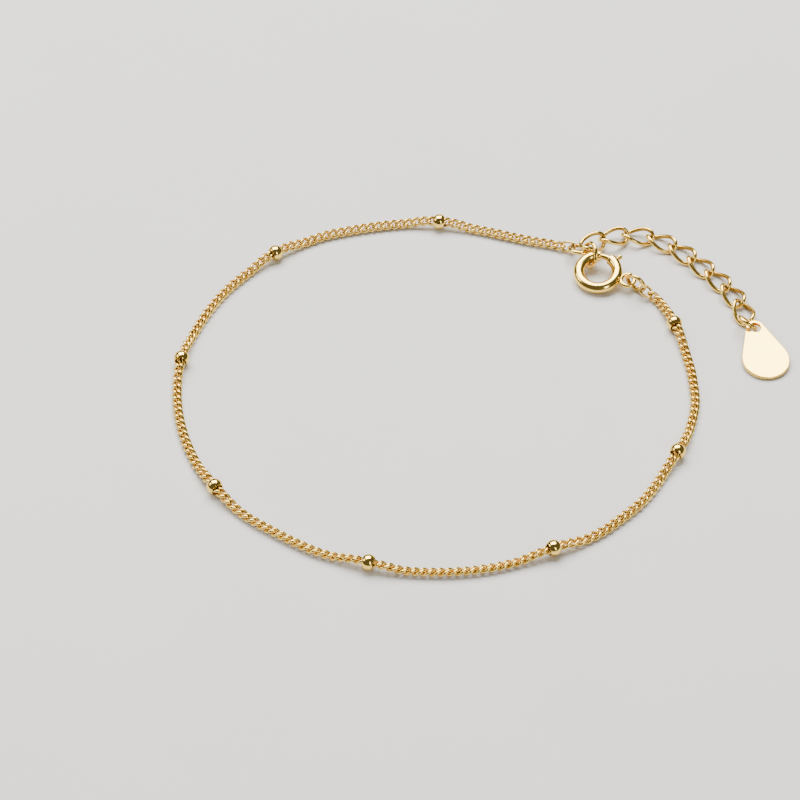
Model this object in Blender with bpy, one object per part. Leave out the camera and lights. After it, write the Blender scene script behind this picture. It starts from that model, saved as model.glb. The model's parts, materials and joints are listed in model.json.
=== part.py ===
"""A fine satellite-chain anklet that lies fastened on a flat surface.

Lengths are in metres and angles in degrees. +Z is up, +X runs along the longest side, and the origin
is on the surface under the middle of the anklet. An azimuth is counted anticlockwise from +X as seen
from above, and a slope upwards from level.
"""
import math
from collections import namedtuple

import bmesh
import bpy
import numpy
from mathutils import Matrix, Vector

# Fine curb chain, drawn as one tube of its links' outer size
CHAIN_DIAMETER = 0.0012
CHAIN_TUBE_STEPS = 9             # tube lengths from bead to bead

# Drilled beads along the chain
BEAD_PITCH = 0.0247
FIRST_BEAD = 0.0177              # from the chain's left end
BEAD_DIAMETER = 0.0022
BEAD_LENGTH = 0.0014
BEAD_CLEARANCE = 0.00014         # round the chain
BEAD_SIDES = 16
CHAIN_RISE_LENGTH = 0.004        # over which the chain climbs to a bead or to an end link

# Wire loops: outer diameters, lengths and widths
HOOK_CLEARANCE = 0.00012         # between two wires that hold each other
RING_WIRE = 0.0006
CLOSING_RING_DIAMETER = 0.0040
END_RING_DIAMETER = 0.0036
CLASP_JUMP_RING_DIAMETER = 0.0034
TAG_RING_DIAMETER = 0.0034
TAG_RING_WIRE = 0.00054
END_LINK_LENGTH = 0.0024
END_LINK_WIDTH = 0.00172
END_LINK_WIRE = 0.0004
EXTENDER_COUNT = 9
EXTENDER_LENGTH = 0.00495
EXTENDER_WIDTH = 0.0032
EXTENDER_WIRE = 0.0006
EXTENDER_TWIST = 45              # each half of a link is turned by this much at its end
EXTENDER_PLAY = 0.00015          # between two links pulled straight
EXTENDER_ROLLS = (6, 2)          # of the second and third links, the others lie flat
EXTENDER_DESCENT = 2             # links after the first in which the extender comes down to rest
OVAL_POWER = 2.4                 # 2 is an ellipse, more is squarer
RING_STEPS = 16
WIRE_SIDES = 8                   # of the thicker tail loop
LINK_STEPS = 20

# Spring-ring clasp: a hollow curved case with a soldered tail loop, and the bolt that slides in it.
# Angles are azimuths round the clasp's centre.
CLASP_DIAMETER = 0.0070
CASE_DIAMETER = 0.0016
CASE_WALL = 0.00025
GATE_START, GATE_END = 48, 80
GATE_OVERCUT = 3                 # how far the bore's and seat's cutters stand out of the case
BORE_END = -60
SEAT_DEPTH = 7                   # of the hole that takes the bolt's tip, past the gate
TAIL_DIAMETER = 0.00256
TAIL_WIRE = 0.00066
TAIL_AZIMUTH = -22
SOLDER_DEPTH = 0.00005           # how far the tail loop is sunk into the case
BOLT_CLEARANCE = 0.00013
BOLT_START = 16
BOLT_TIP = 84
BOLT_TRAVEL = 33
KNOB_ANGLE = 36
KNOB_DIAMETER = 0.0008
KNOB_HEIGHT = 0.0006
KNOB_STEM = 0.0005
CASE_SIDES = 14
BORE_SIDES = 12
ARC_STEP = 9                     # degrees between two sections of the case

# Drop-shaped tag, the outline round a large and a small circle
TAG_LENGTH = 0.0101
TAG_WIDTH = 0.0066
TAG_TOP_WIDTH = 0.0026
TAG_THICKNESS = 0.00055
TAG_HOLE = 0.0016
TAG_EDGE = 0.0001                # bevel of the rim
TAG_ARC_STEP = 13
TAG_HOLE_SIDES = 16
TAG_HOLE_SHIFT = 0.00007         # of the hole's centre past the tag ring, towards the tag's tip

# Where the clasp lies, and how the loops lean from it. held_at is the angle round the loop that
# holds this one, then come this one's azimuth and slope and its roll about that direction.
Pose = namedtuple("Pose", "held_at azimuth slope roll")
CLASP_PLACE = (0.01694, 0.02148)
CLASP_RISE_AZIMUTH = 69          # the clasp's side that is propped up by the closing ring
CLOSING_RING_AZIMUTH = 109
CLOSING_RING_LEAN = 107
CLOSING_RING_SHIFT = 0.0004      # of its centre, outwards from the case's middle line
CLOSING_RING_DROP = 0.00005      # of the case's middle line under that centre
END_RING_POSE = Pose(-21, 150, -8, 23)
LEFT_LINK_POSE = Pose(0, 161, -12, 118)
FIRST_EXTENDER_POSE = Pose(7, 40, -13, 22)
CLASP_JUMP_RING_POSE = Pose(-13, -47, 41, 105)
RIGHT_LINK_POSE = Pose(-65, -44, -18, 9)
TAG_RING_POSE = Pose(0, -115, 45, 162)
TAG_HELD_AT = -75
TAG_AZIMUTH = -78

# Middle line of the chain from its left end anticlockwise to its right end, seen from above
CHAIN_ROUTE = [
    (0.0070, 0.0288), (0.0004, 0.0308), (-0.0061, 0.0322), (-0.0129, 0.0318), (-0.0204, 0.0301),
    (-0.0243, 0.0284), (-0.0285, 0.0259), (-0.0322, 0.0224), (-0.0358, 0.0180), (-0.0387, 0.0125),
    (-0.0408, 0.0062), (-0.0414, -0.0006), (-0.0405, -0.0073), (-0.0384, -0.0135),
    (-0.0354, -0.0187), (-0.0317, -0.0228), (-0.0277, -0.0258), (-0.0221, -0.0292),
    (-0.0167, -0.0311), (-0.0116, -0.0324), (-0.0067, -0.0328), (-0.0017, -0.0325),
    (0.0032, -0.0314), (0.0083, -0.0294), (0.0140, -0.0268), (0.0177, -0.0239), (0.0212, -0.0203),
    (0.0242, -0.0155), (0.0271, -0.0102), (0.0289, -0.0039), (0.0290, 0.0010), (0.0286, 0.0050),
    (0.0275, 0.0105), (0.0262, 0.0141),
]

# Middle line of the extender from its first link to the tag ring, seen from above
EXTENDER_ROUTE = [
    (0.0202, 0.0292), (0.0232, 0.0296), (0.0263, 0.0284), (0.0291, 0.0261), (0.0316, 0.0233),
    (0.0339, 0.0204), (0.0358, 0.0175), (0.0370, 0.0146), (0.0375, 0.0116),
]

UP = Vector((0, 0, 1))
GOLD = (0.86, 0.62, 0.28)
PALE_GOLD = (0.93, 0.80, 0.55)


def clear_scene():
    for thing in list(bpy.data.objects):
        bpy.data.objects.remove(thing, do_unlink=True)


def gold(name, colour, roughness):
    material = bpy.data.materials.new(name)
    material.use_nodes = True
    shader = material.node_tree.nodes["Principled BSDF"]
    shader.inputs["Base Color"].default_value = (*colour, 1)
    shader.inputs["Metallic"].default_value = 1.0
    shader.inputs["Roughness"].default_value = roughness
    material.diffuse_color = (*colour, 1)
    return material


def direction(azimuth, slope=0):
    turn, climb = math.radians(azimuth), math.radians(slope)
    return Vector((math.cos(turn) * math.cos(climb), math.sin(turn) * math.cos(climb), math.sin(climb)))


def rolled(along, roll):
    """The direction square to along that is level at roll 0, on its left."""
    left = UP.cross(along).normalized()
    return left * math.cos(math.radians(roll)) + along.cross(left) * math.sin(math.radians(roll))


def frame_of(centre, along, across):
    """A matrix whose X axis is along and whose Y axis is across, at the centre."""
    matrix = Matrix((along, across, along.cross(across))).transposed().to_4x4()
    matrix.translation = centre
    return matrix


def signed_power(value, power):
    return math.copysign(abs(value) ** power, value)


class Loop:
    """A closed loop of round wire: an oval in its own XY plane, twisted along X."""

    def __init__(self, centre, along, across, length, width, wire, power=2, twist=0, steps=RING_STEPS):
        self.centre, self.along, self.across = centre, along, across
        self.half_length = (length - wire) / 2
        self.half_width = (width - wire) / 2
        self.wire_radius = wire / 2
        self.power, self.twist, self.steps = power, math.radians(twist), steps

    def local_point(self, angle):
        turn = math.radians(angle)
        x = self.half_length * signed_power(math.cos(turn), 2 / self.power)
        offset = self.half_width * signed_power(math.sin(turn), 2 / self.power)
        twist = self.twist * x / self.half_length
        return Vector((x, offset * math.cos(twist), offset * math.sin(twist)))

    def point(self, angle):
        return frame_of(self.centre, self.along, self.across) @ self.local_point(angle)

    def end(self):
        """Where the next piece starts, just past this loop's outer end."""
        return self.centre + self.along * (self.half_length + self.wire_radius + HOOK_CLEARANCE)

    def lowest(self):
        """How far the wire reaches below the centre when the loop lies level."""
        angles = range(0, 360, 3)
        return self.wire_radius - min(self.local_point(angle).z for angle in angles)


def hooked(holder, pose, length, width, wire, **shape):
    """A loop that hangs on another, its near end inside it."""
    along = direction(pose.azimuth, pose.slope)
    overlap = holder.wire_radius + wire / 2 + HOOK_CLEARANCE
    reach = (length - wire) / 2 - overlap
    centre = holder.point(pose.held_at) + along * reach
    return Loop(centre, along, rolled(along, pose.roll), length, width, wire, **shape)


def add_curve(name, points, depth, resolution, closed, material, matrix=None):
    """A round wire or tube along the points."""
    curve = bpy.data.curves.new(name, "CURVE")
    curve.dimensions = "3D"
    curve.bevel_depth = depth
    curve.bevel_resolution = resolution
    curve.use_fill_caps = not closed
    spline = curve.splines.new("POLY")
    spline.points.add(len(points) - 1)
    for place, point in zip(spline.points, points):
        place.co = (*point, 1)
    spline.use_cyclic_u = closed
    spline.use_smooth = True
    curve.materials.append(material)
    return add_object(name, curve, matrix)


def add_object(name, data, matrix=None):
    thing = bpy.data.objects.new(name, data)
    bpy.context.scene.collection.objects.link(thing)
    if matrix is not None:
        thing.matrix_world = matrix
    return thing


def add_loop(name, loop, material):
    points = [loop.local_point(360 * step / loop.steps) for step in range(loop.steps)]
    matrix = frame_of(loop.centre, loop.along, loop.across)
    return add_curve(name, points, loop.wire_radius, 1, True, material, matrix)


def skin(name, rows, closed, material=None, matrix=None):
    """A solid through rows of points. A closed one runs back to its first row, others get flat ends."""
    shape = bmesh.new()
    grid = [[shape.verts.new(point) for point in row] for row in rows]
    following = grid[1:] + grid[:1] if closed else grid[1:]
    for near, far in zip(grid, following):
        for here in range(len(near)):
            there = (here + 1) % len(near)
            shape.faces.new((near[here], near[there], far[there], far[here]))
    if not closed:
        shape.faces.new(reversed(grid[0]))
        shape.faces.new(grid[-1])
    bmesh.ops.recalc_face_normals(shape, faces=shape.faces)
    mesh = bpy.data.meshes.new(name)
    shape.to_mesh(mesh)
    shape.free()
    mesh.shade_smooth()
    mesh.set_sharp_from_angle(angle=math.radians(40))
    if material:
        mesh.materials.append(material)
    return add_object(name, mesh, matrix)


def circle(radius, sides):
    turns = [2 * math.pi * side / sides for side in range(sides)]
    return [(radius * math.cos(turn), radius * math.sin(turn)) for turn in turns]


def arc_rows(section, arc_radius, start, end, step):
    """A flat section, given as (outward, up) pairs, at steps along an arc round Z."""
    count = max(2, math.ceil(abs(end - start) / step))
    rows = []
    for index in range(count + 1):
        turn = math.radians(start + (end - start) * index / count)
        outward = Vector((math.cos(turn), math.sin(turn), 0))
        rows.append([outward * (arc_radius + out) + UP * up for out, up in section])
    return rows


def hide(helper):
    helper.hide_render = True
    helper.display_type = "WIRE"


def combine(body, helper, operation, matrix):
    """Cut a helper solid out of the body, or fuse it on."""
    helper.matrix_world = matrix
    hide(helper)
    modifier = body.modifiers.new(helper.name, "BOOLEAN")
    modifier.operation = operation
    modifier.object = helper


def smooth_curve(points, pieces=40):
    """A dense smooth curve through the points, as a numpy array."""
    known = [numpy.array(point, dtype=float) for point in points]
    known = [2 * known[0] - known[1]] + known + [2 * known[-1] - known[-2]]
    share = numpy.linspace(0, 1, pieces, endpoint=False)[:, None]
    dense = []
    for before, near, far, after in zip(known, known[1:], known[2:], known[3:]):
        bend = (2 * before - 5 * near + 4 * far - after) * share ** 2
        twist = (after - before + 3 * (near - far)) * share ** 3
        dense.append((2 * near + (far - before) * share + bend + twist) / 2)
    dense.append(known[-2][None])
    return numpy.concatenate(dense)


def ramp(share):
    """A smooth climb from 0 at share 0 to 1 at share 1."""
    share = min(1, max(0, share))
    return share * share * (3 - 2 * share)


class ChainLine:
    """The chain's middle line: it rests on the surface and climbs to its beads and end links."""

    def __init__(self, left, right):
        self.left, self.right = left.end(), right.end()
        lead = CHAIN_DIAMETER
        near = self.left + direction(LEFT_LINK_POSE.azimuth) * lead
        far = self.right + direction(RIGHT_LINK_POSE.azimuth) * lead
        route = [self.left.xy, near.xy, *CHAIN_ROUTE, far.xy, self.right.xy]
        self.plan = smooth_curve(route)
        lengths = numpy.linalg.norm(numpy.diff(self.plan, axis=0), axis=1)
        self.travelled = numpy.concatenate([[0], numpy.cumsum(lengths)])
        self.length = self.travelled[-1]
        self.step = BEAD_PITCH / CHAIN_TUBE_STEPS
        run = self.length - CHAIN_RISE_LENGTH - FIRST_BEAD
        self.beads = [FIRST_BEAD + index * BEAD_PITCH for index in range(int(run / BEAD_PITCH) + 1)]

    def height(self, distance):
        rest = CHAIN_DIAMETER / 2
        flat = self.step / 2
        height = rest
        for bead in self.beads:
            gone = (abs(distance - bead) - flat) / CHAIN_RISE_LENGTH
            height += (BEAD_DIAMETER / 2 - rest) * ramp(1 - gone)
        height += (self.left.z - rest) * ramp(1 - distance / CHAIN_RISE_LENGTH)
        height += (self.right.z - rest) * ramp(1 - (self.length - distance) / CHAIN_RISE_LENGTH)
        return height

    def point(self, distance):
        x, y = (numpy.interp(distance, self.travelled, self.plan[:, axis]) for axis in (0, 1))
        return Vector((x, y, self.height(distance)))

    def tube_points(self):
        """Places with every bead on the middle of a straight length of tube."""
        first = FIRST_BEAD + self.step / 2
        before = int(first / self.step)
        count = int((self.length - first) / self.step) + 1
        inner = [first + index * self.step for index in range(-before, count)]
        inner = [place for place in inner if self.step / 2 < place < self.length - self.step / 2]
        return [self.point(place) for place in [0, *inner, self.length]]

    def bead_frame(self, distance):
        near, far = self.point(distance - self.step / 2), self.point(distance + self.step / 2)
        along = (far - near).normalized()
        return frame_of((near + far) / 2, along, rolled(along, 0))


def bead_rows():
    """The bead's section, from bore to barrel-shaped outside, turned round X."""
    bore = CHAIN_DIAMETER / 2 + BEAD_CLEARANCE
    radius = BEAD_DIAMETER / 2
    half = BEAD_LENGTH / 2
    outline = []
    for share in (-1, -0.75, -0.4, 0, 0.4, 0.75, 1):
        x = half * share
        outline.append((x, math.sqrt(radius ** 2 - x ** 2)))
    section = outline + [(half, bore), (-half, bore)]
    turns = circle(1, BEAD_SIDES)
    return [[(x, out * cos, out * sin) for x, out in section] for cos, sin in turns]


def make_chain(left, right, material, bead_material):
    line = ChainLine(left, right)
    add_curve("curb_chain", line.tube_points(), CHAIN_DIAMETER / 2, 2, False, material)
    first = skin("satellite_bead_1", bead_rows(), True, bead_material, line.bead_frame(line.beads[0]))
    for number, distance in enumerate(line.beads[1:], start=2):
        add_object(f"satellite_bead_{number}", first.data, line.bead_frame(distance))


class Clasp:
    """Where the clasp lies: propped up on one side by the closing ring that it holds."""

    def __init__(self):
        self.arc_radius = (CLASP_DIAMETER - CASE_DIAMETER) / 2
        self.case_radius = CASE_DIAMETER / 2
        place = Vector((*CLASP_PLACE, 0))
        outward = direction(CLOSING_RING_AZIMUTH)
        lean = math.radians(CLOSING_RING_LEAN)
        ring_up = UP * math.sin(lean) + direction(CLOSING_RING_AZIMUTH + 90) * math.cos(lean)
        mean_radius = (CLOSING_RING_DIAMETER - RING_WIRE) / 2
        ring_height = RING_WIRE / 2 + mean_radius * math.sin(lean)
        ring_place = place + outward * (self.arc_radius + CLOSING_RING_SHIFT) + UP * ring_height
        self.closing_ring = Loop(ring_place, outward, ring_up, CLOSING_RING_DIAMETER,
                                 CLOSING_RING_DIAMETER, RING_WIRE)
        held_height = ring_height - CLOSING_RING_DROP
        away = math.radians(CLOSING_RING_AZIMUTH - CLASP_RISE_AZIMUTH)
        climb = (held_height - self.case_radius) / (self.arc_radius * (1 + math.cos(away)))
        centre = place + UP * (self.case_radius + self.arc_radius * climb)
        rise = direction(CLASP_RISE_AZIMUTH, math.degrees(math.asin(climb)))
        side = direction(CLASP_RISE_AZIMUTH + 90)
        turn = math.radians(CLASP_RISE_AZIMUTH)
        along = rise * math.cos(turn) - side * math.sin(turn)
        across = rise * math.sin(turn) + side * math.cos(turn)
        self.frame = frame_of(centre, along, across)
        self.tail = self.tail_loop()

    def tail_loop(self):
        turn = Matrix.Rotation(math.radians(TAIL_AZIMUTH), 4, "Z")
        matrix = self.frame @ turn
        reach = self.arc_radius + self.case_radius + TAIL_DIAMETER / 2 - TAIL_WIRE / 2 - SOLDER_DEPTH
        along, across = matrix.col[0].xyz, matrix.col[1].xyz
        centre = matrix.translation + along * reach
        return Loop(centre, along, across, TAIL_DIAMETER, TAIL_DIAMETER, TAIL_WIRE)

    def knob_share(self, size):
        """The angle that a width takes at the case's outside."""
        return math.degrees(size / (self.arc_radius + self.case_radius))

    def case(self, material):
        section = circle(self.case_radius, CASE_SIDES)
        rows = arc_rows(section, self.arc_radius, GATE_END, GATE_START + 360, ARC_STEP)
        body = skin("clasp_ring", rows, False, material, self.frame)
        bore = circle(self.case_radius - CASE_WALL, BORE_SIDES)
        bore_rows = arc_rows(bore, self.arc_radius, BORE_END, GATE_START + GATE_OVERCUT, ARC_STEP)
        combine(body, skin("case_bore", bore_rows, False), "DIFFERENCE", self.frame)
        seat_rows = arc_rows(bore, self.arc_radius, GATE_END - GATE_OVERCUT, GATE_END + SEAT_DEPTH, ARC_STEP)
        combine(body, skin("bolt_seat", seat_rows, False), "DIFFERENCE", self.frame)
        combine(body, self.knob_slot(), "DIFFERENCE", self.frame)
        tail = self.tail
        section = circle(tail.wire_radius, WIRE_SIDES)
        rows = arc_rows(section, tail.half_length, 0, 360, 360 / RING_STEPS)[:-1]
        tail_frame = frame_of(tail.centre, tail.along, tail.across)
        combine(body, skin("tail_loop", rows, True), "UNION", tail_frame)

    def knob_slot(self):
        half = KNOB_STEM / 2 + BOLT_CLEARANCE
        margin = self.knob_share(half)
        section = [(0, -half), (2 * self.case_radius, -half), (2 * self.case_radius, half), (0, half)]
        rows = arc_rows(section, self.arc_radius, KNOB_ANGLE - BOLT_TRAVEL - margin,
                        KNOB_ANGLE + margin, ARC_STEP)
        return skin("knob_slot", rows, False)

    def bolt(self, material):
        section = circle(self.case_radius - CASE_WALL - BOLT_CLEARANCE, BORE_SIDES)
        rows = arc_rows(section, self.arc_radius, BOLT_START, BOLT_TIP, ARC_STEP)
        body = skin("clasp_bolt", rows, False, material, self.frame)
        outside = self.arc_radius + self.case_radius + BOLT_CLEARANCE
        outline = [
            (self.arc_radius, KNOB_STEM / 2), (outside, KNOB_STEM / 2), (outside, KNOB_DIAMETER / 2),
            (outside + KNOB_HEIGHT * 0.6, KNOB_DIAMETER / 2),
            (outside + KNOB_HEIGHT * 0.9, KNOB_DIAMETER * 0.35),
            (outside + KNOB_HEIGHT, KNOB_DIAMETER * 0.2),
        ]
        turns = circle(1, BORE_SIDES)
        rows = [[(x, out * cos, out * sin) for cos, sin in turns] for x, out in outline]
        turn = Matrix.Rotation(math.radians(KNOB_ANGLE), 4, "Z")
        combine(body, skin("knob", rows, False), "UNION", self.frame @ turn)


def extender_loops(closing_ring):
    """The extender's links: the first hangs on the closing ring, the others lie along the route."""
    size = dict(length=EXTENDER_LENGTH, width=EXTENDER_WIDTH, wire=EXTENDER_WIRE)
    shape = dict(power=OVAL_POWER, twist=EXTENDER_TWIST, steps=LINK_STEPS)
    first = hooked(closing_ring, FIRST_EXTENDER_POSE, **size, **shape)
    pitch = EXTENDER_LENGTH - 2 * EXTENDER_WIRE - EXTENDER_PLAY
    start = first.centre + first.along * (pitch / 2)
    last_run = numpy.array(EXTENDER_ROUTE[-1]) - numpy.array(EXTENDER_ROUTE[-2])
    beyond = numpy.array(EXTENDER_ROUTE[-1]) + EXTENDER_COUNT * last_run
    plan = smooth_curve([start.xy, *EXTENDER_ROUTE, beyond])
    joints = [Vector(start.xy)]
    for place in plan:
        run = Vector(place) - joints[-1]
        if run.length >= pitch and len(joints) < EXTENDER_COUNT:
            joints.append(joints[-1] + run.normalized() * pitch)
    rest = first.lowest()
    drops = [max(0, 1 - index / EXTENDER_DESCENT) ** 2 for index in range(len(joints))]
    heights = [rest + (start.z - rest) * drop for drop in drops]
    places = [Vector((*joint, height)) for joint, height in zip(joints, heights)]
    rolls = [*EXTENDER_ROLLS, *[0] * EXTENDER_COUNT]
    loops = [first]
    for near, far, roll in zip(places, places[1:], rolls):
        along = (far - near).normalized()
        loops.append(Loop((near + far) / 2, along, rolled(along, roll), **size, **shape))
    return loops


def make_extender(loops, material):
    first = add_loop("extender_link_1", loops[0], material)
    for number, loop in enumerate(loops[1:], start=2):
        matrix = frame_of(loop.centre, loop.along, loop.across)
        add_object(f"extender_link_{number}", first.data, matrix)


def tag_outline(inset):
    """Round a small circle at the origin and a large one along X."""
    small, large = TAG_TOP_WIDTH / 2, TAG_WIDTH / 2
    distance = TAG_LENGTH - small - large
    tangent = math.degrees(math.acos((small - large) / distance))
    outline = []
    arcs = [(distance, large, -tangent, tangent), (0, small, tangent, 360 - tangent)]
    for middle, radius, start, end in arcs:
        count = round((end - start) / TAG_ARC_STEP)
        for index in range(count + 1):
            turn = math.radians(start + (end - start) * index / count)
            reach = radius - inset
            outline.append((middle + reach * math.cos(turn), reach * math.sin(turn)))
    return outline


def make_tag(ring, material):
    """The tag hangs on the ring by its small end, and its tip lies on the surface."""
    held = ring.point(TAG_HELD_AT)
    tip_reach = TAG_LENGTH - TAG_TOP_WIDTH / 2
    slope = math.degrees(math.asin((held.z - TAG_THICKNESS / 2) / tip_reach))
    along = direction(TAG_AZIMUTH, -slope)
    matrix = frame_of(held + along * TAG_HOLE_SHIFT, along, rolled(along, 0))
    half = TAG_THICKNESS / 2
    levels = [(-half, TAG_EDGE), (TAG_EDGE - half, 0), (half - TAG_EDGE, 0), (half, TAG_EDGE)]
    rows = [[(x, y, level) for x, y in tag_outline(inset)] for level, inset in levels]
    tag = skin("drop_tag", rows, False, material, matrix)
    drill = [[(x, y, level) for x, y in circle(TAG_HOLE / 2, TAG_HOLE_SIDES)]
             for level in (-TAG_THICKNESS, TAG_THICKNESS)]
    combine(tag, skin("tag_hole", drill, False), "DIFFERENCE", matrix)


def main():
    clear_scene()
    chain_gold = gold("chain_gold", GOLD, 0.28)
    clasp = Clasp()
    clasp.case(gold("clasp_gold", PALE_GOLD, 0.22))
    clasp.bolt(gold("bolt_gold", PALE_GOLD, 0.25))
    ring_gold = gold("ring_gold", PALE_GOLD, 0.25)
    closing_ring = clasp.closing_ring
    add_loop("closing_ring", closing_ring, ring_gold)
    end_ring = hooked(closing_ring, END_RING_POSE, END_RING_DIAMETER, END_RING_DIAMETER, RING_WIRE)
    add_loop("end_ring", end_ring, ring_gold)
    jump_ring = hooked(clasp.tail, CLASP_JUMP_RING_POSE, CLASP_JUMP_RING_DIAMETER,
                       CLASP_JUMP_RING_DIAMETER, RING_WIRE)
    add_loop("clasp_jump_ring", jump_ring, ring_gold)
    link = dict(length=END_LINK_LENGTH, width=END_LINK_WIDTH, wire=END_LINK_WIRE, power=OVAL_POWER)
    left = hooked(end_ring, LEFT_LINK_POSE, **link)
    right = hooked(jump_ring, RIGHT_LINK_POSE, **link)
    add_loop("chain_end_link_left", left, chain_gold)
    add_loop("chain_end_link_right", right, chain_gold)
    make_chain(left, right, chain_gold, gold("bead_gold", PALE_GOLD, 0.18))
    loops = extender_loops(closing_ring)
    make_extender(loops, gold("extender_gold", PALE_GOLD, 0.3))
    tag_ring = hooked(loops[-1], TAG_RING_POSE, TAG_RING_DIAMETER, TAG_RING_DIAMETER, TAG_RING_WIRE)
    add_loop("tag_ring", tag_ring, ring_gold)
    make_tag(tag_ring, gold("tag_gold", PALE_GOLD, 0.2))


main()
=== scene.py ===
"""The looks of a fine satellite-chain anklet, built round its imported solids.

Lengths are in metres and angles in degrees. +Z is up and the anklet lies on the floor at z 0. Loops of
wire, links and beads take their places from the solids that they replace.
"""

import json
import math
import random

import bmesh
import bpy
import numpy as np
from mathutils import Matrix, Vector


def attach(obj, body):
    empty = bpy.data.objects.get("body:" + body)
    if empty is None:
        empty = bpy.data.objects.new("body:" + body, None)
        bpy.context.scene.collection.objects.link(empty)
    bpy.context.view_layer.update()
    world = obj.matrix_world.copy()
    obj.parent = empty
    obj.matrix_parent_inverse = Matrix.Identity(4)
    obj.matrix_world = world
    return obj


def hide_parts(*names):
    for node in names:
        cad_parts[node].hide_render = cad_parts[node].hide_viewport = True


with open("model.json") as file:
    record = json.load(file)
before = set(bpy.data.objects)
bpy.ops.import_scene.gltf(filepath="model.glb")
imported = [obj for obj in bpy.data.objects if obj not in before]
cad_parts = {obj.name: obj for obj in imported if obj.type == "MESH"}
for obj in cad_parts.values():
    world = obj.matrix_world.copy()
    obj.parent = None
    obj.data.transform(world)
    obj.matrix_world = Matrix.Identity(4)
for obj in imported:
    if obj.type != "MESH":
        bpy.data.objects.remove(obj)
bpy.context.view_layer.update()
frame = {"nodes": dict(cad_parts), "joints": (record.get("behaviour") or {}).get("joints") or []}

# Camera, at the photograph's angle
CAMERA_PLACE = (-0.0110, -0.2803, 0.29855)
CAMERA_DOWN = 47
CAMERA_LENS = 135
CAMERA_SENSOR = 36
CAMERA_CLIP = (0.01, 10)

# Lights round the anklet: name, azimuth, elevation, distance, width and height, power, colour
LIGHTS = [
    ("key", 100, 58, 0.8, (0.85, 0.62), 20.0, (1.0, 0.98, 0.95)),
    ("left_side", 172, 34, 0.9, (0.4, 0.25), 2.0, (1.0, 0.97, 0.93)),
    ("front_fill", -62, 34, 0.9, (0.14, 0.5), 2.0, (1.0, 1.0, 1.0)),
]
WORLD_COLOUR = (1.0, 0.97, 0.93)
WORLD_STRENGTH = 0.12

# Floor
FLOOR_HALF = 1.5
FLOOR_COLOURS = ((0.74, 0.74, 0.72), (0.78, 0.78, 0.765))
FLOOR_CLOUD_SCALE = 60
FLOOR_ROUGHNESS = 0.85

# Gold plate
BRIGHT_GOLD = (1.0, 0.72, 0.18)
WARM_GOLD = (0.90, 0.55, 0.09)
# Painted shade: a dark colour that stands in for the shade on the inner sides of links and loops and in the
# bores of beads
PAINTED_SHADE_GOLD = (0.26, 0.125, 0.015)
CLOUD_TINT = (-0.2, 0.75)        # share of the warm gold in the lightest and the deepest clouds
LINK_TINT = 0.25                 # more of it, from link to link
PAINTED_SHADE_FALL = 2.5                # how fast the painted shade fades towards the outer side
RECESS_DULLNESS = 0.3
SCRATCH_DETAIL = 2.0
SCRATCH_STRETCH = 0.06           # width of a polishing line as a share of its length
SCRATCH_TURN = (25, 0, 40)
CROSSING_TURN = (0, 30, -15)
SCRATCH_BUMP = 0.5
SCRATCH_DEPTH = 0.000004

# Chain: round wire links, each half twisted by the same angle
CHAIN_DIAMETER = 0.0012          # also how far the route runs straight on from each end link
LINK_WIRE = 0.00043
LINK_HALF_LENGTH = 0.00085       # of the wire's middle line
LINK_HALF_WIDTH = 0.0005
LINK_TWIST = -68
LINK_PITCH = 0.0011
LINK_STEPS = 32
LINK_SIDES = 10
OVAL_POWER = 2.4                 # 2 is an ellipse, more is squarer
FIRST_LINK_IN = 0.00004          # the first link's centre, past the end of the solid tube
ROLL_JITTER = 2.0
CHAIN_SEED = 7
END_LINK_GAP = 0.00012           # from an end link to the end of the solid tube
END_SLOPE = 0.14                 # of the chain where it leaves an end link
END_SLOPE_LENGTH = 0.002
LAST_LINK_LEFT = -0.00015        # minus is to its right, where it clears the end link
LAST_LINK_UP = 0.00007

# How far the chain has turned over about its own line, at shares of its length from its left end
CHAIN_ROLLS = [
    (0.00, -21), (0.10, -36), (0.24, -30), (0.34, 0), (0.44, 22), (0.485, -8), (0.54, -20),
    (0.60, -24), (0.66, -25), (0.71, -20), (0.75, 12), (0.79, 24), (0.86, 20), (0.93, 0), (1.00, -50),
]

# Beads
BEAD_DIAMETER = 0.0022
BEAD_LENGTH = 0.0014
BEAD_BORE = 0.00148
BEAD_EDGE = 0.00007
BEAD_COUNT = 8
BEAD_STEPS = 64
BARREL_STEPS = 25
FIRST_BEAD = 0.0177
BEAD_PITCH = 0.0247
CHAIN_RISE_LENGTH = 0.004
BEAD_SEAT = 0.0014               # each side of a bead where the chain runs level

# Small edges. Faces that meet at more than the angle keep a sharp edge in the shading.
SHARP_ANGLE = 40
RIM_ANGLE = 50                   # on the beads and the tag, and the least that the case's rims round off
ROUND_STEPS = 5                  # points in a quarter round

# Wire loops
RING_WIRE = 0.0006
TAG_RING_WIRE = 0.00054
END_LINK_WIRE = 0.00036
EXTENDER_WIRE = 0.0006
EXTENDER_TWIST = 45
EXTENDER_COUNT = 9
WIRE_SIDES = 24
LOOP_STEPS = 96
SLIT_WIDTH = 0.00004             # where a jump ring's two cut ends meet

# Clasp
ARC_RADIUS = 0.0027
CASE_RADIUS = 0.0008
CASE_WALL = 0.00022
GATE_START, GATE_END = 48, 80
SEAT_HOLE = 0.00053
BOLT_RADIUS = 0.00042
BOLT_START, BOLT_TIP = 16, 84
KNOB_ANGLE = 36
KNOB_STEM = 0.00025
KNOB_RADIUS = 0.0004
KNOB_BASE = 0.00363              # from the clasp's centre
KNOB_HEIGHT = 0.0006
SLOT_START, SLOT_END = -3.2, 42.2
SLOT_HALF_WIDTH = 0.00038
TAIL_RADIUS = 0.00095
TAIL_WIRE = 0.00066
TAIL_AZIMUTH = -22
TAIL_REACH = 0.0044              # of the tail loop's centre from the clasp's centre
TAIL_STEPS = 64
SOLDER_RADII = (0.00022, 0.00052, 0.0004)
CASE_SIDES = 48
CASE_STEP = 2
CASE_RIM = 0.00003
COLLAR_EDGE = [(0.0, 0.0001), (0.5, 0.00003)]   # degrees past the gate, and how far the edge is inset
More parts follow.
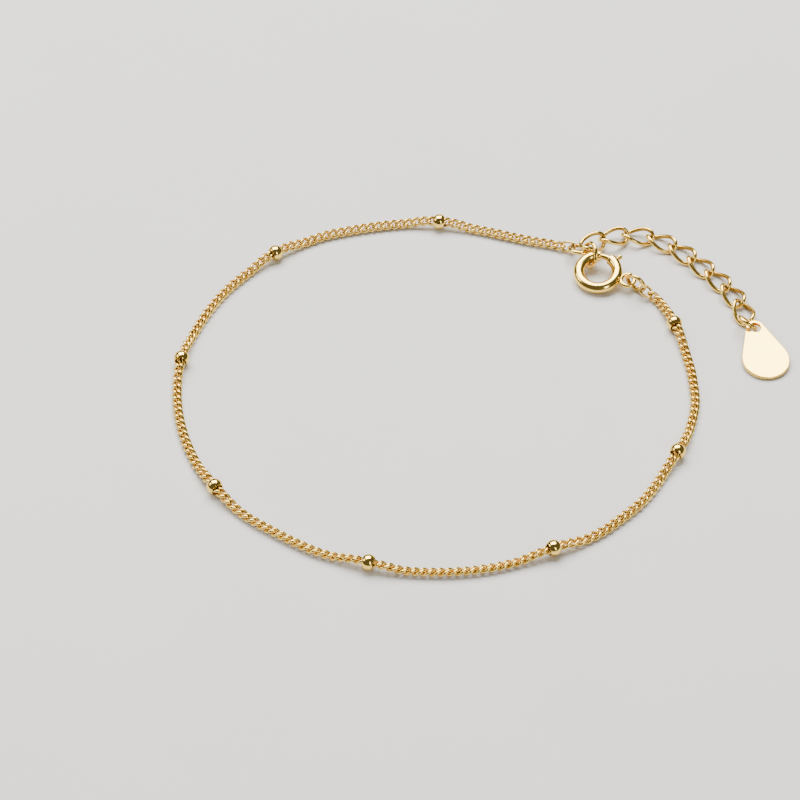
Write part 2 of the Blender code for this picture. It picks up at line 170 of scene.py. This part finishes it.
BOLT_SIDES = 32
BOLT_TIP_ROUND = 4               # degrees of the bolt's rounded tip
BOLT_TIP_SHARES = np.linspace(0, 0.96, 8)
KNOB_SIDES = 40
KNOB_FOOT = 0.0001               # radius of the knob's rounded foot
KNOB_CROWN = 0.00026             # height of its rounded top
KNOB_CROWN_FLAT = 0.15           # flat share of that top
CROWN_STEPS = 8

# Tag
TAG_LENGTH = 0.0101
TAG_WIDTH = 0.0066
TAG_TOP_WIDTH = 0.0026
TAG_THICKNESS = 0.00055
TAG_HOLE = 0.0016
TAG_EDGE = 0.00014
TAG_EDGE_STEPS = 6
TAG_LIP = 0.00006                # rounding of the hole
TAG_POINTS = 160

# Middle line of the chain between its two end links, seen from above
CHAIN_ROUTE = [
    (0.0070, 0.0288), (0.0004, 0.0308), (-0.0061, 0.0322), (-0.0129, 0.0318), (-0.0204, 0.0301),
    (-0.0243, 0.0284), (-0.0285, 0.0259), (-0.0322, 0.0224), (-0.0358, 0.0180), (-0.0387, 0.0125),
    (-0.0408, 0.0062), (-0.0414, -0.0006), (-0.0405, -0.0073), (-0.0384, -0.0135),
    (-0.0354, -0.0187), (-0.0317, -0.0228), (-0.0277, -0.0258), (-0.0221, -0.0292),
    (-0.0167, -0.0311), (-0.0116, -0.0324), (-0.0067, -0.0328), (-0.0017, -0.0325),
    (0.0032, -0.0314), (0.0083, -0.0294), (0.0140, -0.0268), (0.0177, -0.0239), (0.0212, -0.0203),
    (0.0242, -0.0155), (0.0271, -0.0102), (0.0289, -0.0039), (0.0290, 0.0010), (0.0286, 0.0050),
    (0.0275, 0.0105), (0.0262, 0.0141),
]

UP = np.array([0.0, 0.0, 1.0])


def unit(vector):
    return vector / np.linalg.norm(vector)


def new_object(name, data):
    """An object of a mesh, light or camera, put in the scene."""
    thing = bpy.data.objects.new(name, data)
    bpy.context.scene.collection.objects.link(thing)
    return thing


def axes_of(node):
    """A solid's centre, its three axes from the longest to the shortest, and its points."""
    points = np.array([vertex.co for vertex in frame["nodes"][node].data.vertices])
    centre = points.mean(0)
    axes = np.linalg.eigh(np.cov((points - centre).T))[1]
    return centre, axes[:, 2], axes[:, 1], axes[:, 0], points


def matrix_of(centre, along, across):
    """The frame of a piece, from its centre and two of its axes."""
    along, across = Vector(along), Vector(across)
    matrix = Matrix((along, across, along.cross(across))).transposed().to_4x4()
    matrix.translation = Vector(centre)
    return matrix


def signed_power(values, power):
    return np.sign(values) * np.abs(values) ** power


def oval(half_length, half_width, twist, steps, power=OVAL_POWER, opening=0.0):
    """The middle line of a loop in its own XY plane, twisted along X. An opening leaves a slit at +Y."""
    start = math.pi / 2 + opening / 2
    turns = start + (2 * math.pi - opening) * np.arange(steps) / (steps if opening == 0 else steps - 1)
    x = half_length * signed_power(np.cos(turns), 2 / power)
    offset = half_width * signed_power(np.sin(turns), 2 / power)
    angle = math.radians(twist) * x / half_length
    return np.stack([x, offset * np.cos(angle), offset * np.sin(angle)], 1)


def sweep(line, radius, sides, closed=True):
    """Rows of points round a line, with the first point of each row on the outside of the loop."""
    if closed:
        tangent = np.roll(line, -1, 0) - np.roll(line, 1, 0)
    else:
        tangent = np.gradient(line, axis=0)
    tangent /= np.linalg.norm(tangent, axis=1)[:, None]
    outward = line - line.mean(0)
    side = np.cross(tangent, outward)
    side /= np.linalg.norm(side, axis=1)[:, None]
    outward = np.cross(side, tangent)
    turns = 2 * math.pi * np.arange(sides) / sides
    ring = outward[:, None] * np.cos(turns)[None, :, None] + side[:, None] * np.sin(turns)[None, :, None]
    return line[:, None] + radius * ring


def grid_faces(rows, sides, closed):
    """Faces between rows of points. An open grid gets a cap at each end."""
    faces = []
    for row in range(rows if closed else rows - 1):
        below, above = row * sides, (row + 1) % rows * sides
        for side in range(sides):
            beside = (side + 1) % sides
            faces.append((below + side, above + side, above + beside, below + beside))
    if not closed:
        faces.append(tuple(range(sides)))
        faces.append(tuple((rows - 1) * sides + side for side in reversed(range(sides))))
    return faces


def shade_mesh(mesh, sharp=SHARP_ANGLE):
    mesh.shade_smooth()
    mesh.set_sharp_from_angle(angle=math.radians(sharp))


def add_mesh(name, vertices, faces, sharp=SHARP_ANGLE, painted_shade_and_dullness=None, shade=None):
    """A smooth-shaded object, with two optional masks: one is 1 on inner sides, where shade is painted into
    the colour and the gloss is duller; shade varies from link to link.
    """
    mesh = bpy.data.meshes.new(name)
    mesh.from_pydata([tuple(vertex) for vertex in vertices], [], faces)
    for attribute, values in (("painted_shade_and_dullness", painted_shade_and_dullness), ("shade", shade)):
        if values is not None:
            mesh.attributes.new(attribute, "FLOAT", "POINT").data.foreach_set("value", values)
    mesh.validate()
    shape = bmesh.new()
    shape.from_mesh(mesh)
    bmesh.ops.recalc_face_normals(shape, faces=shape.faces)
    shape.to_mesh(mesh)
    shape.free()
    shade_mesh(mesh, sharp)
    return new_object(name, mesh)


def inner_side(rows, sides):
    """1 on the inner side of a swept loop, 0 on its outer side."""
    turns = 2 * math.pi * np.arange(sides) / sides
    return np.tile(0.5 - 0.5 * np.cos(turns), rows)


def dress(thing, material, slot, *nodes, matrix=None, body="anklet"):
    """Put a piece in place and hand it to the frame, with its material."""
    if matrix is not None:
        thing.data.transform(matrix)
    thing.data.materials.clear()
    thing.data.materials.append(material)
    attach(thing, body)
    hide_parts(*nodes)


class Nodes:
    """Short calls that add shader nodes to a material."""

    def __init__(self, material):
        self.tree = material.node_tree

    def add(self, kind, inputs=None, **settings):
        node = self.tree.nodes.new(kind)
        for name, value in settings.items():
            setattr(node, name, value)
        for name, value in (inputs or {}).items():
            if isinstance(value, bpy.types.NodeSocket):
                self.tree.links.new(value, node.inputs[name])
            else:
                node.inputs[name].default_value = value
        return node

    def math(self, operation, first, second):
        node = self.add("ShaderNodeMath", operation=operation)
        for socket, value in zip(node.inputs, (first, second)):
            if isinstance(value, bpy.types.NodeSocket):
                self.tree.links.new(value, socket)
            else:
                socket.default_value = value
        return node.outputs[0]

    def noise(self, coordinates, scale, detail=3.0, stretch=(1, 1, 1), turn=(0, 0, 0)):
        mapping = self.add("ShaderNodeMapping", {"Vector": coordinates, "Scale": stretch,
                                                 "Rotation": [math.radians(angle) for angle in turn]})
        return self.add("ShaderNodeTexNoise", {"Vector": mapping.outputs[0], "Scale": scale,
                                               "Detail": detail}).outputs["Fac"]

    def mix(self, factor, first, second):
        node = self.add("ShaderNodeMix", {"Factor": factor}, data_type="RGBA")
        for name, value in (("A", first), ("B", second)):
            socket = next(s for s in node.inputs if s.name == name and s.type == "RGBA")
            if isinstance(value, bpy.types.NodeSocket):
                self.tree.links.new(value, socket)
            else:
                socket.default_value = (*value, 1)
        return next(s for s in node.outputs if s.type == "RGBA")

    def span(self, value, low, high):
        return self.add("ShaderNodeMapRange", {"Value": value, "To Min": low, "To Max": high}).outputs[0]


def gold(name, smooth=0.12, rough=0.28, painted_shade_and_dullness=0.8, scratch_scale=5200, cloud_scale=900):
    """Polished gold plate: clouded colour, fine polishing lines, and a duller inside under a dark, red
    painted shade.
    """
    material = bpy.data.materials.new(name)
    material.use_nodes = True
    shader = material.node_tree.nodes["Principled BSDF"]
    nodes = Nodes(material)
    place = nodes.add("ShaderNodeTexCoord").outputs["Object"]
    cloud = nodes.noise(place, cloud_scale)
    lines = nodes.noise(place, scratch_scale, SCRATCH_DETAIL, (1, SCRATCH_STRETCH, 1), SCRATCH_TURN)
    crossing = nodes.noise(place, scratch_scale, SCRATCH_DETAIL, (SCRATCH_STRETCH, 1, 1), CROSSING_TURN)
    polish = nodes.math("MULTIPLY", lines, crossing)
    inside = nodes.add("ShaderNodeAttribute", attribute_name="painted_shade_and_dullness").outputs["Fac"]
    shade = nodes.add("ShaderNodeAttribute", attribute_name="shade").outputs["Fac"]
    tint = nodes.math("ADD", nodes.span(cloud, *CLOUD_TINT), nodes.math("MULTIPLY", shade, LINK_TINT))
    surface = nodes.mix(tint, BRIGHT_GOLD, WARM_GOLD)
    # Painted shade: the inner side is mixed towards a dark colour that stands in for shade, and its gloss is
    # made duller
    deep = nodes.math("MULTIPLY", nodes.math("POWER", inside, PAINTED_SHADE_FALL), painted_shade_and_dullness)
    colour = nodes.mix(deep, surface, PAINTED_SHADE_GOLD)
    dull = nodes.math("MULTIPLY", deep, RECESS_DULLNESS)
    worn = nodes.math("ADD", nodes.span(polish, smooth, rough), dull)
    bump = nodes.add("ShaderNodeBump", {"Height": polish, "Strength": SCRATCH_BUMP,
                                          "Distance": SCRATCH_DEPTH})
    links = material.node_tree.links
    links.new(colour, shader.inputs["Base Color"])
    links.new(worn, shader.inputs["Roughness"])
    links.new(bump.outputs[0], shader.inputs["Normal"])
    shader.inputs["Metallic"].default_value = 1.0
    return material


def smooth_curve(points, pieces=40):
    """A dense smooth curve through the points."""
    known = [np.array(point, dtype=float) for point in points]
    known = [2 * known[0] - known[1]] + known + [2 * known[-1] - known[-2]]
    share = np.linspace(0, 1, pieces, endpoint=False)[:, None]
    dense = []
    for before, near, far, after in zip(known, known[1:], known[2:], known[3:]):
        bend = (2 * before - 5 * near + 4 * far - after) * share ** 2
        twist = (after - before + 3 * (near - far)) * share ** 3
        dense.append((2 * near + (far - before) * share + bend + twist) / 2)
    dense.append(known[-2][None])
    return np.concatenate(dense)


def ramp(share):
    """Eases from 0 to 1."""
    share = min(1, max(0, share))
    return share * share * (3 - 2 * share)


class ChainLine:
    """The chain's middle line, between the end links and through the beads."""

    def __init__(self, link):
        self.section = link[:, 1:]
        self.left, left_along = self.end_of("chain_end_link_left", CHAIN_ROUTE[0])
        self.right, right_along = self.end_of("chain_end_link_right", CHAIN_ROUTE[-1])
        near = self.left[:2] + unit(left_along[:2]) * CHAIN_DIAMETER
        far = self.right[:2] + unit(right_along[:2]) * CHAIN_DIAMETER
        self.plan = smooth_curve([self.left[:2], near, *CHAIN_ROUTE, far, self.right[:2]])
        lengths = np.linalg.norm(np.diff(self.plan, axis=0), axis=1)
        self.travelled = np.concatenate([[0], np.cumsum(lengths)])
        self.length = self.travelled[-1]
        self.beads = [FIRST_BEAD + index * BEAD_PITCH for index in range(BEAD_COUNT)]

    def end_of(self, node, towards):
        """Where the solid tube starts, just past the end link, and the link's direction there."""
        centre, along, _, _, points = axes_of(node)
        if along[:2] @ (np.array(towards) - centre[:2]) < 0:
            along = -along
        reach = ((points - centre) @ along).max() + END_LINK_GAP
        return centre + along * reach, along

    def roll(self, distance):
        """How far the chain has turned over there, eased from one named share to the next."""
        shares, rolls = zip(*CHAIN_ROLLS)
        share = distance / self.length
        index = max(1, min(len(shares) - 1, int(np.searchsorted(shares, share))))
        part = ramp((share - shares[index - 1]) / (shares[index] - shares[index - 1]))
        return rolls[index - 1] + (rolls[index] - rolls[index - 1]) * part

    def height(self, distance):
        """The chain lies on its lowest wires, and climbs to a bead or an end link."""
        roll = math.radians(self.roll(distance))
        rest = -(self.section @ (math.sin(roll), math.cos(roll))).min()
        height = rest
        for bead in self.beads:
            gone = (abs(distance - bead) - BEAD_SEAT) / CHAIN_RISE_LENGTH
            height += (BEAD_DIAMETER / 2 - rest) * ramp(1 - gone)
        for end, gone in ((self.left, distance), (self.right, self.length - distance)):
            height += (end[2] - rest) * ramp(1 - gone / CHAIN_RISE_LENGTH)
            share = min(1, gone / END_SLOPE_LENGTH)
            height -= END_SLOPE * END_SLOPE_LENGTH * share * (1 - share) ** 2
        return height

    def point(self, distance):
        x, y = (np.interp(distance, self.travelled, self.plan[:, axis]) for axis in (0, 1))
        return np.array([x, y, self.height(distance)])

    def frames(self):
        """A place and two axes for every link, from the left end link to the right one."""
        run = self.length - 2 * FIRST_LINK_IN
        count = round(run / LINK_PITCH)
        pitch = run / count
        chance = random.Random(CHAIN_SEED)
        for index in range(count + 1):
            distance = FIRST_LINK_IN + index * pitch
            reach = min(pitch / 2, distance, self.length - distance)
            near, far = (self.point(distance + side * reach) for side in (-1, 1))
            along = unit(far - near)
            left = unit(np.cross(UP, along))
            roll = math.radians(self.roll(distance) + chance.uniform(-ROLL_JITTER, ROLL_JITTER))
            across = left * math.cos(roll) + np.cross(along, left) * math.sin(roll)
            centre = self.point(distance)
            if index == count:
                centre = centre + left * LAST_LINK_LEFT + UP * LAST_LINK_UP
            yield centre, along, across, chance.random()


def make_chain(material):
    line = oval(LINK_HALF_LENGTH, LINK_HALF_WIDTH, LINK_TWIST, LINK_STEPS)
    link = sweep(line, LINK_WIRE / 2, LINK_SIDES).reshape(-1, 3)
    faces = np.array(grid_faces(LINK_STEPS, LINK_SIDES, True))
    all_vertices, all_faces, shades = [], [], []
    for index, (centre, along, across, shade) in enumerate(ChainLine(link).frames()):
        axes = np.stack([along, across, np.cross(along, across)])
        all_vertices.append(centre + link @ axes)
        all_faces.append(faces + index * len(link))
        shades.append(np.full(len(link), shade))
    # Painted shade and duller gloss on each link's inner side
    inside = np.tile(inner_side(LINK_STEPS, LINK_SIDES), len(shades))
    chain = add_mesh("curb_chain_links", np.concatenate(all_vertices),
                     np.concatenate(all_faces).tolist(), painted_shade_and_dullness=inside, shade=np.concatenate(shades))
    dress(chain, material, "chain_gold", "curb_chain")


def bead_section():
    """The bead's closed outline as (along, out) pairs: barrel, rounded lips and bore."""
    half, radius, bore = BEAD_LENGTH / 2, BEAD_DIAMETER / 2, BEAD_BORE / 2
    lip = math.sqrt(radius ** 2 - half ** 2)
    barrel = [half * math.sin(turn) for turn in np.linspace(-math.pi / 2, math.pi / 2, BARREL_STEPS)]
    outside = [(x, math.sqrt(radius ** 2 - x ** 2)) for x in barrel]
    edge = min(BEAD_EDGE, (lip - bore) / 2)
    right = [(half - edge + edge * math.cos(turn), bore + edge - edge * math.sin(turn))
             for turn in np.linspace(0, math.pi / 2, ROUND_STEPS)]
    left = [(-x, out) for x, out in reversed(right)]
    return outside + right + left


def make_beads(material):
    section = bead_section()
    turns = 2 * math.pi * np.arange(BEAD_STEPS) / BEAD_STEPS
    rows = np.array([[(x, out * math.cos(turn), out * math.sin(turn)) for x, out in section]
                     for turn in turns])
    faces = grid_faces(BEAD_STEPS, len(section), True)
    # Painted shade and duller gloss in the bore
    in_bore = [1.0 if out < BEAD_BORE / 2 + BEAD_EDGE else 0.0 for _, out in section]
    for number in range(1, BEAD_COUNT + 1):
        node = f"satellite_bead_{number}"
        centre, _, across, along, _ = axes_of(node)
        bead = add_mesh(f"bead_{number}", rows.reshape(-1, 3), faces, RIM_ANGLE, in_bore * BEAD_STEPS)
        dress(bead, material, "bead_gold", node, matrix=matrix_of(centre, along, across))


def loop_from(name, node, wire, material, slot, twist=0):
    """A link that takes its place and size from the solid."""
    centre, along, across, normal, points = axes_of(node)
    local = (points - centre) @ np.stack([along, across, normal], 1)
    half_length = local[:, 0].max() - wire / 2
    half_width = local[:, 1].max() - wire / 2
    line = oval(half_length, half_width, twist, LOOP_STEPS)
    vertices = sweep(line, wire / 2, WIRE_SIDES).reshape(-1, 3)
    # Painted shade and duller gloss on the loop's inner side
    loop = add_mesh(name, vertices, grid_faces(LOOP_STEPS, WIRE_SIDES, True),
                    painted_shade_and_dullness=inner_side(LOOP_STEPS, WIRE_SIDES))
    dress(loop, material, slot, node, matrix=matrix_of(centre, along, across))


def ring_from(name, node, wire, material, slit_towards):
    """A jump ring with the fine slit of its cut, turned to the given direction."""
    centre, _, _, normal, points = axes_of(node)
    radius = np.linalg.norm(points - centre, axis=1).max() - wire / 2
    wish = np.array(slit_towards, dtype=float)
    across = unit(wish - normal * (wish @ normal))
    along = np.cross(across, normal)
    line = oval(radius, radius, 0, LOOP_STEPS, 2, SLIT_WIDTH / radius)
    vertices = sweep(line, wire / 2, WIRE_SIDES, False).reshape(-1, 3)
    # Painted shade and duller gloss on the ring's inner side
    ring = add_mesh(name, vertices, grid_faces(LOOP_STEPS, WIRE_SIDES, False),
                    painted_shade_and_dullness=inner_side(LOOP_STEPS, WIRE_SIDES))
    dress(ring, material, "ring_gold", node, matrix=matrix_of(centre, along, across))


def clasp_frame():
    """The clasp's own frame: its centre and axis come from the joint, its zero angle from the tail loop."""
    joint = next(joint for joint in frame["joints"] if joint["name"] == "bolt_slide")
    centre = np.array(joint["pos_m"])
    normal = -unit(np.array(joint["axis"]))
    level = unit(np.cross(np.cross(normal, np.array([1.0, 0, 0])), normal))
    points = axes_of("clasp_ring")[-1]
    far = points[np.argmax(np.linalg.norm(points - centre, axis=1))]
    towards = unit(far - centre)
    tail = math.atan2(towards @ np.cross(normal, level), towards @ level)
    turn = tail - math.radians(TAIL_AZIMUTH)
    along = level * math.cos(turn) + np.cross(normal, level) * math.sin(turn)
    return matrix_of(centre, along, np.cross(normal, along))


def arc_row(angle, section):
    """A section of (outward, up) pairs at an angle round the clasp."""
    turn = math.radians(angle)
    return [((ARC_RADIUS + out) * math.cos(turn), (ARC_RADIUS + out) * math.sin(turn), up)
            for out, up in section]


def circle(radius, sides):
    return [(radius * math.cos(2 * math.pi * side / sides), radius * math.sin(2 * math.pi * side / sides))
            for side in range(sides)]


def apply_modifiers(thing):
    """Turn the modified shape into the object's own mesh."""
    graph = bpy.context.evaluated_depsgraph_get()
    mesh = bpy.data.meshes.new_from_object(thing.evaluated_get(graph))
    thing.modifiers.clear()
    thing.data = mesh


def fuse(thing, *helpers):
    """Join closed helper shapes to a piece as one body."""
    for helper in helpers:
        modifier = thing.modifiers.new(helper.name, "BOOLEAN")
        modifier.operation = "UNION"
        modifier.object = helper
    bpy.context.view_layer.update()
    apply_modifiers(thing)
    for helper in helpers:
        bpy.data.objects.remove(helper)


def make_case(matrix, material):
    """A thin tube bent to a C, with a rounded slot for the knob and a collar that takes the bolt's tip."""
    rows = [arc_row(GATE_END, circle(SEAT_HOLE, CASE_SIDES))]
    rows += [arc_row(GATE_END + past, circle(CASE_RADIUS - inset, CASE_SIDES)) for past, inset in COLLAR_EDGE]
    angles = list(np.arange(GATE_END + CASE_STEP, GATE_START + 360 + CASE_STEP / 2, CASE_STEP))
    place = [GATE_END] * len(rows) + angles
    rows += [arc_row(angle, circle(CASE_RADIUS, CASE_SIDES)) for angle in angles]
    shape = bmesh.new()
    grid = [[shape.verts.new(point) for point in row] for row in rows]
    for index in range(len(grid) - 1):
        middle = (place[index] + place[index + 1]) / 2 - 360
        for side in range(CASE_SIDES):
            beside = (side + 1) % CASE_SIDES
            turn = math.pi * (2 * side + 1) / CASE_SIDES
            in_slot = math.cos(turn) > 0 and abs(math.sin(turn)) * CASE_RADIUS < SLOT_HALF_WIDTH
            if SLOT_START < middle < SLOT_END and in_slot:
                continue
            shape.faces.new((grid[index][side], grid[index + 1][side],
                             grid[index + 1][beside], grid[index][beside]))
    bmesh.ops.recalc_face_normals(shape, faces=shape.faces)
    mesh = bpy.data.meshes.new("clasp_case")
    shape.to_mesh(mesh)
    shape.free()
    case = new_object("clasp_case", mesh)
    wall = case.modifiers.new("wall", "SOLIDIFY")
    wall.thickness = CASE_WALL
    wall.offset = -1
    wall.use_even_offset = True
    rim = case.modifiers.new("rim", "BEVEL")
    rim.width = CASE_RIM
    rim.segments = 2
    rim.limit_method = "ANGLE"
    rim.angle_limit = math.radians(RIM_ANGLE)
    apply_modifiers(case)
    line = oval(TAIL_RADIUS, TAIL_RADIUS, 0, TAIL_STEPS, 2)
    tail = add_mesh("tail_loop", sweep(line, TAIL_WIRE / 2, WIRE_SIDES).reshape(-1, 3),
                    grid_faces(TAIL_STEPS, WIRE_SIDES, True))
    turned = Matrix.Rotation(math.radians(TAIL_AZIMUTH), 4, "Z")
    tail.matrix_world = turned @ Matrix.Translation((TAIL_REACH, 0, 0))
    solder = add_ball("solder", SOLDER_RADII)
    solder.matrix_world = turned @ Matrix.Translation((ARC_RADIUS + CASE_RADIUS, 0, 0))
    fuse(case, tail, solder)
    shade_mesh(case.data)
    dress(case, material, "clasp_gold", "clasp_ring", matrix=matrix)


def add_ball(name, radii, rows=16, sides=32):
    shape = bmesh.new()
    bmesh.ops.create_uvsphere(shape, u_segments=sides, v_segments=rows, radius=1)
    bmesh.ops.scale(shape, vec=radii, verts=shape.verts)
    mesh = bpy.data.meshes.new(name)
    shape.to_mesh(mesh)
    shape.free()
    return new_object(name, mesh)


def make_bolt(matrix, material):
    """The curved bolt with a rounded tip, and its small turned knob."""
    straight_end = BOLT_TIP - BOLT_TIP_ROUND
    rows = [arc_row(angle, circle(BOLT_RADIUS, BOLT_SIDES))
            for angle in np.arange(BOLT_START, straight_end, CASE_STEP)]
    for share in BOLT_TIP_SHARES:
        radius = BOLT_RADIUS * math.sqrt(1 - share ** 2)
        rows.append(arc_row(straight_end + BOLT_TIP_ROUND * share, circle(radius, BOLT_SIDES)))
    bolt = add_mesh("clasp_bolt_and_knob", np.array(rows).reshape(-1, 3),
                    grid_faces(len(rows), BOLT_SIDES, False))
    outline = [(ARC_RADIUS, KNOB_STEM), (KNOB_BASE, KNOB_STEM)]
    foot = KNOB_FOOT
    outline += [(KNOB_BASE + foot - foot * math.cos(turn), KNOB_RADIUS - foot + foot * math.sin(turn))
                for turn in np.linspace(0, math.pi / 2, ROUND_STEPS)]
    crown_base = KNOB_BASE + KNOB_HEIGHT - KNOB_CROWN
    outline += [(crown_base + KNOB_CROWN * math.sin(turn),
                 KNOB_RADIUS * (KNOB_CROWN_FLAT + (1 - KNOB_CROWN_FLAT) * math.cos(turn)))
                for turn in np.linspace(0, math.pi / 2, CROWN_STEPS)]
    rows = [[(x, out * cos, out * sin) for cos, sin in circle(1, KNOB_SIDES)] for x, out in outline]
    knob = add_mesh("knob", np.array(rows).reshape(-1, 3), grid_faces(len(rows), KNOB_SIDES, False))
    knob.matrix_world = Matrix.Rotation(math.radians(KNOB_ANGLE), 4, "Z")
    fuse(bolt, knob)
    shade_mesh(bolt.data)
    dress(bolt, material, "bolt_gold", "clasp_bolt", matrix=matrix, body="clasp_bolt")


def tag_outline(inset):
    """Points round the drop at equal angles about its hole: a small and a large arc and two straights."""
    small, large = TAG_TOP_WIDTH / 2, TAG_WIDTH / 2
    distance = TAG_LENGTH - small - large
    tangent = math.acos((small - large) / distance)
    small, large = small - inset, large - inset
    touch = math.atan2(large * math.sin(tangent), distance + large * math.cos(tangent))
    points = []
    for index in range(TAG_POINTS):
        turn = 2 * math.pi * index / TAG_POINTS
        folded = min(turn, 2 * math.pi - turn)
        if folded < touch:
            reach = distance * math.cos(turn)
            reach += math.sqrt(large ** 2 - (distance * math.sin(turn)) ** 2)
        elif folded < tangent:
            reach = small / math.cos(folded - tangent)
        else:
            reach = small
        points.append((reach * math.cos(turn), reach * math.sin(turn)))
    return points


def make_tag(material):
    """A flat drop with rounded rims. Its frame comes from the solid: flat side up, hole at the small end."""
    centre, along, _, normal, points = axes_of("drop_tag")
    if normal[2] < 0:
        normal = -normal
    local = (points - centre) @ along
    across_spread = np.abs((points - centre) @ np.cross(normal, along))
    if local[np.argmax(across_spread)] < 0:
        along = -along
        local = -local
    hole = centre + along * (local.min() + TAG_TOP_WIDTH / 2)
    matrix = matrix_of(hole, along, np.cross(normal, along))
    half, edge = TAG_THICKNESS / 2, TAG_EDGE
    rim = [(edge * (1 - math.sin(turn)), half - edge + edge * math.cos(turn))
           for turn in np.linspace(0, math.pi / 2, TAG_EDGE_STEPS)]
    outer = rim + [(inset, -level) for inset, level in reversed(rim)]
    rows = [[(x, y, level) for x, y in tag_outline(inset)] for inset, level in outer]
    bore, lip = TAG_HOLE / 2, TAG_LIP
    inner = [(bore + lip - lip * math.sin(turn), -half + lip - lip * math.cos(turn))
             for turn in np.linspace(0, math.pi / 2, ROUND_STEPS)]
    inner += [(radius, -level) for radius, level in reversed(inner)]
    rows += [[(x, y, level) for x, y in circle(radius, TAG_POINTS)] for radius, level in inner]
    tag = add_mesh("drop_tag_plate", np.array(rows).reshape(-1, 3),
                   grid_faces(len(rows), TAG_POINTS, True), RIM_ANGLE)
    dress(tag, material, "tag_gold", "drop_tag", matrix=matrix)


def make_floor():
    floor = bpy.data.meshes.new("floor")
    corners = [(x * FLOOR_HALF, y * FLOOR_HALF, 0) for x, y in ((-1, -1), (1, -1), (1, 1), (-1, 1))]
    floor.from_pydata(corners, [], [(0, 1, 2, 3)])
    thing = new_object("floor", floor)
    material = bpy.data.materials.new("pale_floor")
    material.use_nodes = True
    shader = material.node_tree.nodes["Principled BSDF"]
    nodes = Nodes(material)
    place = nodes.add("ShaderNodeTexCoord").outputs["Object"]
    colour = nodes.mix(nodes.noise(place, FLOOR_CLOUD_SCALE), *FLOOR_COLOURS)
    material.node_tree.links.new(colour, shader.inputs["Base Color"])
    shader.inputs["Roughness"].default_value = FLOOR_ROUGHNESS
    floor.materials.append(material)


def around(azimuth, elevation, distance):
    """A place round the anklet's middle."""
    turn, climb = math.radians(azimuth), math.radians(elevation)
    return Vector((distance * math.cos(turn) * math.cos(climb), distance * math.sin(turn) * math.cos(climb),
                   distance * math.sin(climb)))


def add_light(name, azimuth, elevation, distance, size, power, colour):
    """A soft box that faces the anklet's middle."""
    light = bpy.data.lights.new(name, "AREA")
    light.shape = "RECTANGLE"
    light.size, light.size_y = size
    light.energy = power
    light.color = colour
    thing = new_object(name, light)
    thing.location = around(azimuth, elevation, distance)
    thing.rotation_euler = (-thing.location).to_track_quat("-Z", "Y").to_euler()
    thing.visible_camera = False


def make_studio():
    for light in LIGHTS:
        add_light(*light)
    world = bpy.data.worlds.new("studio")
    world.use_nodes = True
    background = world.node_tree.nodes["Background"]
    background.inputs["Color"].default_value = (*WORLD_COLOUR, 1)
    background.inputs["Strength"].default_value = WORLD_STRENGTH
    bpy.context.scene.world = world


def make_camera():
    data = bpy.data.cameras.new("camera")
    data.lens = CAMERA_LENS
    data.sensor_width = CAMERA_SENSOR
    data.clip_start, data.clip_end = CAMERA_CLIP
    camera = new_object("camera", data)
    camera.location = CAMERA_PLACE
    camera.rotation_euler = (math.radians(90 - CAMERA_DOWN), 0, 0)
    bpy.context.scene.camera = camera


make_camera()
make_studio()
make_floor()
chain_gold = gold("chain_gold_plate", smooth=0.16, rough=0.34, scratch_scale=9000, cloud_scale=700)
ring_gold = gold("ring_gold_plate")
make_chain(chain_gold)
make_beads(gold("bead_gold_plate", smooth=0.06, rough=0.2, painted_shade_and_dullness=0.9))
for side in ("left", "right"):
    loop_from(f"end_link_{side}", f"chain_end_link_{side}", END_LINK_WIRE, chain_gold, "chain_gold")
ring_from("closing_jump_ring", "closing_ring", RING_WIRE, ring_gold, (0.3, -1, 0.2))
ring_from("end_jump_ring", "end_ring", RING_WIRE, ring_gold, (0, -1, 0.5))
ring_from("clasp_end_ring", "clasp_jump_ring", RING_WIRE, ring_gold, (1, 1, 0.5))
ring_from("tag_jump_ring", "tag_ring", TAG_RING_WIRE, ring_gold, (1, 0, 0.6))
extender_gold = gold("extender_gold_plate", rough=0.3)
for number in range(1, EXTENDER_COUNT + 1):
    loop_from(f"extender_curb_{number}", f"extender_link_{number}", EXTENDER_WIRE, extender_gold,
              "extender_gold", EXTENDER_TWIST)
clasp = clasp_frame()
make_case(clasp, gold("clasp_gold_plate", painted_shade_and_dullness=0.0))
make_bolt(clasp, gold("bolt_gold_plate", painted_shade_and_dullness=0.0))
make_tag(gold("tag_gold_plate", smooth=0.1, rough=0.3, painted_shade_and_dullness=0.0, scratch_scale=2600, cloud_scale=400))
